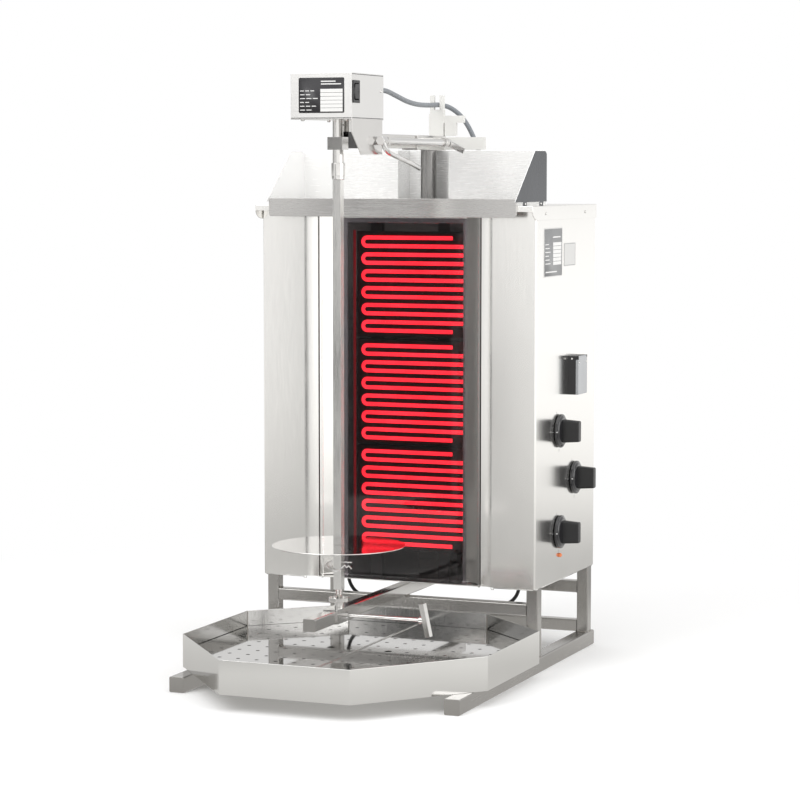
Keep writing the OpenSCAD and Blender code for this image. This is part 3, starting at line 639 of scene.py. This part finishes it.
def add_rounded_bar(bm, lo, hi, axis, radius):
    """A bar along one axis with its four long edges rolled to a radius."""
    lo, hi, r = at(*lo), at(*hi), radius * MM
    u, v = [i for i in range(3) if i != axis]
    outline = []
    for cu, cv, start in ((hi[u] - r, hi[v] - r, 0), (lo[u] + r, hi[v] - r, 90),
                          (lo[u] + r, lo[v] + r, 180), (hi[u] - r, lo[v] + r, 270)):
        for step in range(6):
            angle = math.radians(start + 18 * step)
            outline.append((cu + r * math.cos(angle), cv + r * math.sin(angle)))
    rings = []
    for along in (lo[axis], hi[axis]):
        ring = []
        for a, b in outline:
            p = [0, 0, 0]
            p[axis], p[u], p[v] = along, a, b
            ring.append(bm.verts.new(p))
        rings.append(ring)
    skin(bm, rings)


SKID_W, SKID_TOP, SKID_END = 25, 24.96, 325  # the skids' tops stay a hair under the sliding tray
SKIDS_X = (217, -242)
TUBE_W = 20
POSTS_X, POSTS_Y = (220, -240), (35, 295)
CROSSBARS = ((35, 92), (295, 92), (295, 25))  # each one's low corner, as y and z
ARM_LOW, ARM_FRONT, ARM_BACK = 112, -332, 315
PLUG_T = 1.5


def add_frame():
    """The tube frame: rolled-edge square tubes with plugged ends; the weld beads come from add_welds."""
    bm = bmesh.new()
    for x in SKIDS_X:
        add_rounded_bar(bm, (x, PLUG_T - SKID_END, 0), (x + SKID_W, SKID_END - PLUG_T, SKID_TOP), 1, 2.6)
    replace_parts(bevelled(solid_from(bm, "skid_tubes", "frame_steel", "root"), 0.3, 2, 50), "skids")

    bm = bmesh.new()
    for x in SKIDS_X:
        for y in (-SKID_END, SKID_END - PLUG_T):
            add_rounded_bar(bm, (x, y, 0), (x + SKID_W, y + PLUG_T, SKID_TOP), 1, 2.6)
    for y in (ARM_FRONT, ARM_BACK):
        add_rounded_bar(bm, (-TUBE_W / 2, y, ARM_LOW), (TUBE_W / 2, y + PLUG_T, ARM_LOW + TUBE_W), 1, 2.2)
    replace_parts(bevelled(solid_from(bm, "end_plugs", "frame_steel", "root"), 0.5, 2, 50),
               "tube_end_caps")

    bm = bmesh.new()
    for x in POSTS_X:
        for y in POSTS_Y:
            add_rounded_bar(bm, (x, y, SKID_W), (x + TUBE_W, y + TUBE_W, 138), 2, 2.2)
    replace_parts(bevelled(solid_from(bm, "post_tubes", "frame_steel", "root"), 0.2, 2, 50),
               "frame_posts")

    bm = bmesh.new()
    for y, z in CROSSBARS:
        add_rounded_bar(bm, (-220, y, z), (220, y + TUBE_W, z + TUBE_W), 0, 2.2)
    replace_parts(bevelled(solid_from(bm, "cross_tubes", "frame_steel", "root"), 0.2, 2, 50),
               "crossbars")

    bm = bmesh.new()
    add_rounded_bar(bm, (-TUBE_W / 2, ARM_FRONT + PLUG_T, ARM_LOW),
                    (TUBE_W / 2, ARM_BACK, ARM_LOW + TUBE_W), 1, 2.2)
    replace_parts(bevelled(solid_from(bm, "lower_arm_tube", "bright_steel", "root"), 0.2, 2, 50),
               "lower_arm")


def add_bead(bm, start, end, radius=1.5):
    """A weld bead between two points, with the ripples that the torch leaves."""
    a, b = at(*start), at(*end)
    steps = max(8, int((b - a).length / MM * 2))
    line = [a.lerp(b, i / steps) for i in range(steps + 1)]

    def thick(i):
        fade = min(1, 0.35 + 0.65 * min(i, steps - i) / 4)
        return radius * MM * fade * (0.86 + 0.14 * abs(math.sin(i * 0.9)))

    side = Vector((0.31, 0.47, 0.83))
    take_in(bm, swept_tube(line, thick, 10, side))


def add_welds():
    bm = bmesh.new()
    for s in (1, -1):
        for y in POSTS_Y:
            for x in (220, 240):
                add_bead(bm, (s * x, y + 2, SKID_W), (s * x, y + 18, SKID_W))
            for edge_y in (y, y + TUBE_W):
                add_bead(bm, (s * 222, edge_y, SKID_W), (s * 238, edge_y, SKID_W))
            add_bead(bm, (s * 10, y + 1, ARM_LOW), (s * 10, y + 19, ARM_LOW), 1.3)
        for y, z in CROSSBARS:
            for edge_z in (z, z + TUBE_W):
                if edge_z > SKID_W:
                    add_bead(bm, (s * 220, y + 1.5, edge_z), (s * 220, y + 18.5, edge_z))
    solid_from(bm, "weld_beads", "frame_steel", "root", MATERIALS["weld_steel"])


RUNS, PITCH = 12, 13.9
RIBBON_W, RIBBON_T = 6.4, 2.2
RIBBON_LEFT, RIBBON_RIGHT, TAIL_X = -80, 107, 81
RIBBON_Y = 64.2
ZONE_TOPS = (COVER_Z - 50.2, COVER_Z - 228.2, COVER_Z - 403.7)


def ribbon_line(top):
    """The middle line of one heating ribbon, from its upper tail to its lower one."""
    r = PITCH / 2
    left = RIBBON_LEFT + r + RIBBON_W / 2
    right = RIBBON_RIGHT - RIBBON_W / 2
    corner = 3.4
    line = [(TAIL_X, top - RIBBON_W / 2)]
    for run in range(RUNS):
        z = top - RIBBON_W / 2 - run * PITCH
        if run % 2 == 0:
            for k in range(17):
                angle = math.pi / 2 + math.pi * k / 16
                line.append((left + r * math.cos(angle), z - r + r * math.sin(angle)))
        elif run < RUNS - 1:
            for centre_z, start in ((z - corner, math.pi / 2), (z - PITCH + corner, 0)):
                for k in range(6):
                    angle = start - math.pi / 2 * k / 5
                    line.append((right - corner + corner * math.cos(angle),
                                 centre_z + corner * math.sin(angle)))
        else:
            line.append((TAIL_X, z))
    return [at(x, RIBBON_Y, z) for x, z in line]


def add_ribbon(node, top):
    """One flat-oval heating ribbon, wound to and fro."""
    bm = bmesh.new()
    line = ribbon_line(top)
    last = len(line) - 1
    deep = Vector((0, 1, 0))
    rings = []
    for i, p in enumerate(line):
        d = (line[min(i + 1, last)] - line[max(i - 1, 0)]).normalized()
        u = d.cross(deep)
        rings.append([bm.verts.new(p + RIBBON_W / 2 * MM * math.cos(a) * u
                                   + RIBBON_T / 2 * MM * math.sin(a) * deep)
                      for a in (2 * math.pi * k / 16 for k in range(16))])
    skin(bm, rings)
    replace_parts(solid_from(bm, node + "_ribbon", "glowing_ribbon", "root"), node)


def add_back_panel():
    """The back sheet with its two banks of vent slots, cut as a grid so that every edge is clean."""
    banks = ((-170, -110), (110, 170))
    xs = [-HALF, *banks[0], *banks[1], HALF]
    slots = [COVER_Z - 60 - 16 * k for k in range(8)]
    zs = sorted([138, COVER_Z - 2] + [z - 3 for z in slots] + [z + 3 for z in slots])
    bm = bmesh.new()
    points = {(x, z): bm.verts.new(at(x, 322, z)) for x in xs for z in zs}
    sheet = []
    for x0, x1 in zip(xs, xs[1:]):
        for z0, z1 in zip(zs, zs[1:]):
            open_here = (x0, x1) in banks and (z0 + z1) / 2 in slots
            if not open_here:
                sheet.append(bm.faces.new([points[p] for p in ((x0, z0), (x1, z0), (x1, z1), (x0, z1))]))
    made = bmesh.ops.extrude_face_region(bm, geom=sheet)["geom"]
    for v in made:
        if isinstance(v, bmesh.types.BMVert):
            v.co.y += MM
    panel = solid_from(bm, "back_sheet", "panel_steel", "root")
    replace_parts(bevelled(panel, 0.3, 2), "back_panel")


def add_fibre_trays():
    """Three fibre trays, each with a raised rim round its ribbon."""
    rim, margin = 4, 7
    front, recess, back = 62.5, 65.5, 80
    left, right = RIBBON_LEFT - margin, RIBBON_RIGHT + margin
    bm = bmesh.new()
    for ribbon_top in ZONE_TOPS:
        top = ribbon_top + margin
        low = ribbon_top - (RUNS - 1) * PITCH - RIBBON_W - margin
        add_block(bm, (left, recess, low), (right, back, top))
        add_block(bm, (left, front, low), (left + rim, recess, top))
        add_block(bm, (right - rim, front, low), (right, recess, top))
        add_block(bm, (left + rim, front, top - rim), (right - rim, recess, top))
        add_block(bm, (left + rim, front, low), (right - rim, recess, low + rim))
    trays = solid_from(bm, "fibre_trays", "insulation", "root")
    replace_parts(bevelled(trays, 0.5, 2), "element_trays")


def add_heaters():
    for node, top in zip(("top_element", "middle_element", "bottom_element"), ZONE_TOPS):
        add_ribbon(node, top)
    add_fibre_trays()


def add_turned(bm, profile, place, axis, sides=64):
    """A turned shape from (radius, height) in millimetres. A profile that ends at its start is a ring."""
    base, turn = at(*place), Vector(axis).to_track_quat("Z", "Y").to_matrix()
    angles = [2 * math.pi * k / sides for k in range(sides)]
    rings = []
    for r, h in profile:
        points = [Vector((r * math.cos(a), r * math.sin(a), h)) for a in (angles if r else [0])]
        rings.append([bm.verts.new(base + turn @ (point * MM)) for point in points])
    for one, two in zip(rings, rings[1:]):
        for k in range(sides):
            n = (k + 1) % sides
            corners = [one[k % len(one)], one[n % len(one)], two[n % len(two)], two[k % len(two)]]
            bm.faces.new(list(dict.fromkeys(corners)))
    if profile[0] == profile[-1]:
        bmesh.ops.remove_doubles(bm, verts=rings[0] + rings[-1], dist=1e-7)
        return
    for ring, back in ((rings[0], True), (rings[-1], False)):
        if len(ring) > 1:
            bm.faces.new(list(reversed(ring)) if back else ring)


KNOBS = {"top_knob": (138, 385), "middle_knob": (218, 300), "bottom_knob": (139, 218)}


def add_knob(node, y, z):
    """A control knob: a stepped disc with a tall thumb grip and a white pointer line."""
    bm = bmesh.new()
    add_turned(bm, [(3, -15), (3, 1.0), (26.6, 1.0), (27.5, 1.9), (27.5, 4.6), (27.1, 5.3),
                    (26.3, 5.7), (24.6, 6.0), (23.6, 7.6), (21.6, 8.7), (0, 9.3)],
               (HALF, y, z), (1, 0, 0), 96)
    disc = solid_from(bm, node + "_disc", "black_plastic", BODY[node], MATERIALS["gloss_black"])
    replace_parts(bevelled(disc, 0.25, 2, 40), node)
    bm = bmesh.new()
    outline = [(-7, -15), (-5, -17), (5, -17), (7, -15), (7, 15), (5, 17), (-5, 17), (-7, 15)]
    low = [bm.verts.new(at(HALF + 7.5, y + a * 1.14, z + b * 1.12)) for a, b in outline]
    high = [bm.verts.new(at(HALF + 36, y + a, z + b)) for a, b in outline]
    for k in range(8):
        n = (k + 1) % 8
        bm.faces.new((low[k], low[n], high[n], high[k]))
    bm.faces.new(list(reversed(low)))
    bm.faces.new(high)
    grip = solid_from(bm, node + "_grip", "black_plastic", BODY[node])
    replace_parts(bevelled(grip, 1.6, 3, 30), node)
    bm = bmesh.new()
    add_block(bm, (HALF + 5.4, y - 26.2, z - 0.7), (HALF + 6.2, y - 17.5, z + 0.7))
    add_block(bm, (HALF + 4.6, y - 27.65, z - 0.7), (HALF + 5.6, y - 26.2, z + 0.7))
    solid_from(bm, node + "_pointer", "black_plastic", BODY[node], MATERIALS["label_white"], False)


def add_knob_scales():
    """The short printed ticks on the panel round each knob."""
    bm = bmesh.new()
    for y, z in KNOBS.values():
        for step in range(5):
            angle = math.radians(180 - 67.5 * step)
            d = Vector((math.cos(angle), math.sin(angle)))
            for k in range(5):
                r = 30 + 1.1 * k
                add_block(bm, (HALF - 0.1, y + d.x * r - 0.55, z + d.y * r - 0.55),
                          (HALF + 0.12, y + d.x * r + 0.55, z + d.y * r + 0.55))
    solid_from(bm, "knob_ticks", "black_plastic", "root", MATERIALS["label_grey"], False)


def add_screw(bm, place, axis, r=3.2, h=1.9):
    """A pan-head screw with a round-cornered drive recess."""
    add_turned(bm, [(r * 0.98, -0.3), (r, 0), (r * 0.97, h * 0.45), (r * 0.82, h * 0.82),
                    (r * 0.60, h), (r * 0.40, h), (r * 0.36, h * 0.35), (0, h * 0.25)],
               place, axis, 24)


def add_screws():
    bm = bmesh.new()
    for x in (-228, 0, 228):
        for z in (150, 440, 728):
            if x or z != 440:
                add_screw(bm, (x, 323, z), (0, 1, 0))
    for s in (1, -1):
        for y in (60, 262):
            add_screw(bm, (s * 242, y, 742), (s, 0, 0), 2.6, 1.4)
        for y in (45, 305):
            add_screw(bm, (s * 205, y, 138), (0, 0, -1), 3.0, 1.8)
        for y in (32, 108):
            add_screw(bm, (s * 217, y, COVER_Z + 3.2), (s, 0, 0), 2.0, 1.0)
        add_screw(bm, (s * 150, 4.5, COVER_Z), (0, 0, 1), 2.8, 1.5)
    solid_from(bm, "housing_screws", "bright_steel", "root")

    bm = bmesh.new()
    for s in (1, -1):
        add_screw(bm, (s * 44, -157, 944), (0, 1, 0), 2.6, 1.5)
        for y in (-269, -170):
            add_screw(bm, (s * 36, y, BOX_Z - 1.5), (0, 0, -1), 3.2, 2.4)
    add_screw(bm, (50.5, -168, 932), (1, 0, 0), 2.4, 1.2)
    solid_from(bm, "head_screws", "bright_steel", "carriage")

    bm = bmesh.new()
    for y in (190.5, 226.5):
        add_screw(bm, (HALF + 17, y, 494), (1, 0, 0), 1.9, 0.8)
    solid_from(bm, "lid_screws", "bright_steel", BODY["socket_lid"])
    bm = bmesh.new()
    add_screw(bm, (HALF + 6, 185, 500.5), (0, -1, 0), 1.6, 0.6)
    solid_from(bm, "socket_screw", "bright_steel", "root")


def add_hems():
    """Rolled sheet edges: under the front panels, and the curled lips at the housing's corners."""
    bm = bmesh.new()
    for s in (1, -1):
        add_round(bm, (s * 168, 23.4, 137.6), (s * 236, 23.4, 137.6), 1.3, 16)
        add_round(bm, (s * 238.6, 27, 137.6), (s * 238.6, 318, 137.6), 1.3, 16)
        curl = [at(s * (166 + 2.4 * math.cos(a)), 24, 136.6 + 2.4 * math.sin(a))
                for a in (math.radians(-200 + 20 * k) for k in range(12))]
        take_in(bm, swept_tube(curl, 0.8 * MM, 10, Vector((0, 1, 0))))
    solid_from(bm, "rolled_hems", "panel_steel", "root")


def add_head_label():
    """The dark plate on the motor box: plain rows and dashes, with nothing written on them."""
    front = -281
    bm = bmesh.new()
    add_rounded_bar(bm, (-37, front - 0.45, 897), (38, front + 0.2, 950), 1, 2.2)
    solid_from(bm, "head_label", "plate_foil", "carriage", MATERIALS["label_black"])
    bm = bmesh.new()
    for row in range(6):
        z = 899 + row * 5.75
        add_block(bm, (-1, front - 0.6, z), (35.5, front - 0.4, z + 5.2))
        for part in range(2 + row % 2):
            x = -34.5 + part * (10.5 - row % 3)
            add_block(bm, (x, front - 0.55, z + 1.9), (x + 8.2 - row % 3, front - 0.4, z + 3.1))
    add_block(bm, (0, front - 0.55, 939.5), (33, front - 0.4, 941.2))
    add_block(bm, (0, front - 0.55, 943.5), (24, front - 0.4, 945.2))
    solid_from(bm, "head_label_rows", "plate_foil", "carriage", MATERIALS["label_white"], False)


def add_side_labels():
    """Blank rating plates on the side panel: a grey field with pale cells, and a pale plate."""
    x = HALF + 0.5
    bm = bmesh.new()
    add_rounded_bar(bm, (x - 0.1, 58.5, COVER_Z - 113.5), (x + 0.15, 146.5, COVER_Z - 37.5), 0, 1.5)
    solid_from(bm, "rating_field", "plate_foil", "root", MATERIALS["label_grey"])
    bm = bmesh.new()
    for row in range(6):
        z = COVER_Z - 96 + row * 6.2
        add_block(bm, (x + 0.1, 101, z), (x + 0.28, 142, z + 5.4))
        add_block(bm, (x + 0.1, 63, z + 1.8), (x + 0.24, 88 - 4 * (row % 3), z + 3.3))
    add_block(bm, (x + 0.1, 100, COVER_Z - 52), (x + 0.24, 138, COVER_Z - 50))
    add_block(bm, (x + 0.1, 64, COVER_Z - 108), (x + 0.24, 120, COVER_Z - 106))
    solid_from(bm, "rating_cells", "plate_foil", "root", MATERIALS["label_white"], False)
    bm = bmesh.new()
    for y0, y1, z0, z1 in ((158.8, 159.6, -99, -63), (214.4, 215.2, -99, -63),
                           (159.6, 214.4, -99, -98.2), (159.6, 214.4, -63.8, -63)):
        add_block(bm, (x - 0.05, y0, COVER_Z + z0), (x + 0.12, y1, COVER_Z + z1))
    solid_from(bm, "second_plate_border", "plate_foil", "root", MATERIALS["label_grey"], False)


def add_meat_plate():
    """The polished disc that carries the meat, with its hub and a turned edge."""
    bm = bmesh.new()
    r, z = 104, 229
    add_turned(bm, [(9.2, -14), (11.4, -14), (12, -13.4), (12, -0.6), (13.2, 0), (r - 0.8, 0),
                    (r - 0.15, 0.3), (r, 0.75), (r - 0.15, 1.2), (r - 0.8, 1.5), (9.2, 1.5),
                    (9.2, -14)], (0, SPIT_Y, z), (0, 0, 1), 160)
    plate = solid_from(bm, "meat_disc", "polished_steel", "spit", MATERIALS["plate_steel"])
    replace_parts(bevelled(plate, 0.1, 1, 60), "meat_plate")


def add_sleeve():
    """The lifting collar: a turned sleeve on a slightly smaller foot."""
    bm = bmesh.new()
    add_turned(bm, [(8.56, 0), (9.3, 0), (9.9, 0.6), (9.9, 5.0), (9.6, 5.5), (10.0, 5.5), (10.5, 6.1),
                    (10.5, 24.7), (9.9, 25.5), (8.56, 25.5), (8.56, 0)],
               (0, SPIT_Y, COVER_Z + 42.5), (0, 0, 1), 96)
    sleeve = solid_from(bm, "collar_sleeve", "bright_steel", BODY["drive_sleeve"])
    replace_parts(bevelled(sleeve, 0.15, 2, 40), "drive_sleeve")


def add_rod_and_handle():
    """The chromed adjusting rod with its hexagon nut and cranked handle."""
    x, z = 58.5, ARM_Z + 10
    bm = bmesh.new()
    add_turned(bm, [(4.0, 0), (4.75, 0.7), (4.75, 272.3), (4.0, 273)], (x, -178, z), (0, 1, 0), 40)
    add_turned(bm, [(6.9, 0), (7.5, 0.6), (7.5, 19.4), (6.9, 20)], (x, -190, z), (0, 1, 0), 6)
    grip = [(x + 2, -182, z - 3), (x + 3, -177, z - 11), (x + 3, -165, z - 17), (x + 2, -150, z - 20.5),
            (x, -112, z - 26), (x - 6, -60, z - 32), (x - 14, -12, z - 37.5), (x - 23, 34, z - 43)]
    line = catmull([at(*p) for p in grip], 8)
    last = len(line) - 1
    take_in(bm, swept_tube(line, lambda i: 4 * MM * min(1, 0.45 + 0.3 * (last - i)), 24, Vector((1, 0, 0))))
    handle = solid_from(bm, "rod_and_handle", "bright_steel", BODY["clamp_handle"], MATERIALS["chrome"])
    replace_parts(bevelled(handle, 0.3, 2, 45), "clamp_handle")


def add_clip():
    """The sprung wire clip through the spit, with its wavy outer leg."""
    leg = [(22, 0, 0), (10, 0, 0), (0, 0, 0), (-10, 0, 0), (-15.5, 2.5, 1), (-17.5, 7, 4),
           (-14, 10, 9), (-6, 10.8, 12), (3, 10.8, 12), (8.5, 9.5, 8), (13, 8, 4), (16.5, 7.5, 7),
           (19.5, 7, 4.5), (24, 6.5, 9)]
    line = catmull([at(a, SPIT_Y - b, 204 - c) for a, b, c in leg], 8)
    bm = swept_tube(line, 1.2 * MM, 16, Vector((0, 0, 1)))
    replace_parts(solid_from(bm, "wire_clip", "bright_steel", "spit", MATERIALS["chrome"]),
               "retaining_clip")


def add_head_seams():
    """The shadow gaps where the motor box's lid and floor meet its sides."""
    bm = bmesh.new()
    top = BOX_Z + 68
    add_block(bm, (50.45, -279.5, top - 2.2), (50.62, -158.5, top - 1.2))
    add_block(bm, (50.45, -279.5, BOX_Z + 0.2), (50.62, -158.5, BOX_Z + 1.2))
    add_block(bm, (-49.5, -281.12, BOX_Z + 0.2), (49.5, -280.95, BOX_Z + 1.0))
    solid_from(bm, "head_seams", "plate_foil", "carriage", MATERIALS["label_black"], False)


def add_tray_seams():
    """Bright welded corners on the drip tray, and the two thin lips where its inserts meet."""
    corners = [(s * x, y) for s in (1, -1) for x, y in ((107, -425), (258, -246), (258, -8), (125, 112))]
    bm = bmesh.new()
    for x, y in corners:
        inward = Vector((-x, -150 - y)).normalized() * 1.3
        add_bead(bm, (x + inward.x, y + inward.y, 28), (x + inward.x, y + inward.y, 77), 0.8)
    solid_from(bm, "tray_corner_welds", "polished_steel", "tray", MATERIALS["weld_steel"])
    bm = bmesh.new()
    for x0, x1 in ((0.5, 2.0), (-2.0, -0.5)):
        add_block(bm, (x0, -420, 52.1), (x1, 108, 53.1))
    bevelled(solid_from(bm, "insert_lips", "polished_steel", "tray"), 0.25, 2)


def build_all():
    add_rounded_copies()
    add_cheeks()
    add_back_panel()
    add_frame()
    add_welds()
    add_heaters()
    for node, (y, z) in KNOBS.items():
        add_knob(node, y, z)
    add_knob_scales()
    add_screws()
    add_hems()
    add_head_label()
    add_head_seams()
    add_side_labels()
    add_sleeve()
    add_meat_plate()
    add_rod_and_handle()
    add_clip()
    add_tray_seams()


# ---- Assembly --------------------------------------------------------------------------------

add_camera()
add_world()
add_floor()
add_light("key", at(-1500, -2600, 2600), at(0, -100, 500), (2.2, 2.2), 42)
add_light("side", at(2600, -500, 1700), at(0, 0, 450), (2.0, 2.6), 28)
add_light("top", at(0, -400, 3200), at(0, 0, 600), (3.0, 3.0), 22)
add_card("card_dark", at(-835, -2000, 430), at(0, 0, 430), (0.28, 1.3), 0.10)
add_card("card_soft", at(-625, -2000, 220), at(0, 0, 220), (0.15, 0.44), 0.45)
bpy.context.scene.view_settings.view_transform = "Standard"
MATERIALS = make_materials()
build_all()
add_cords()
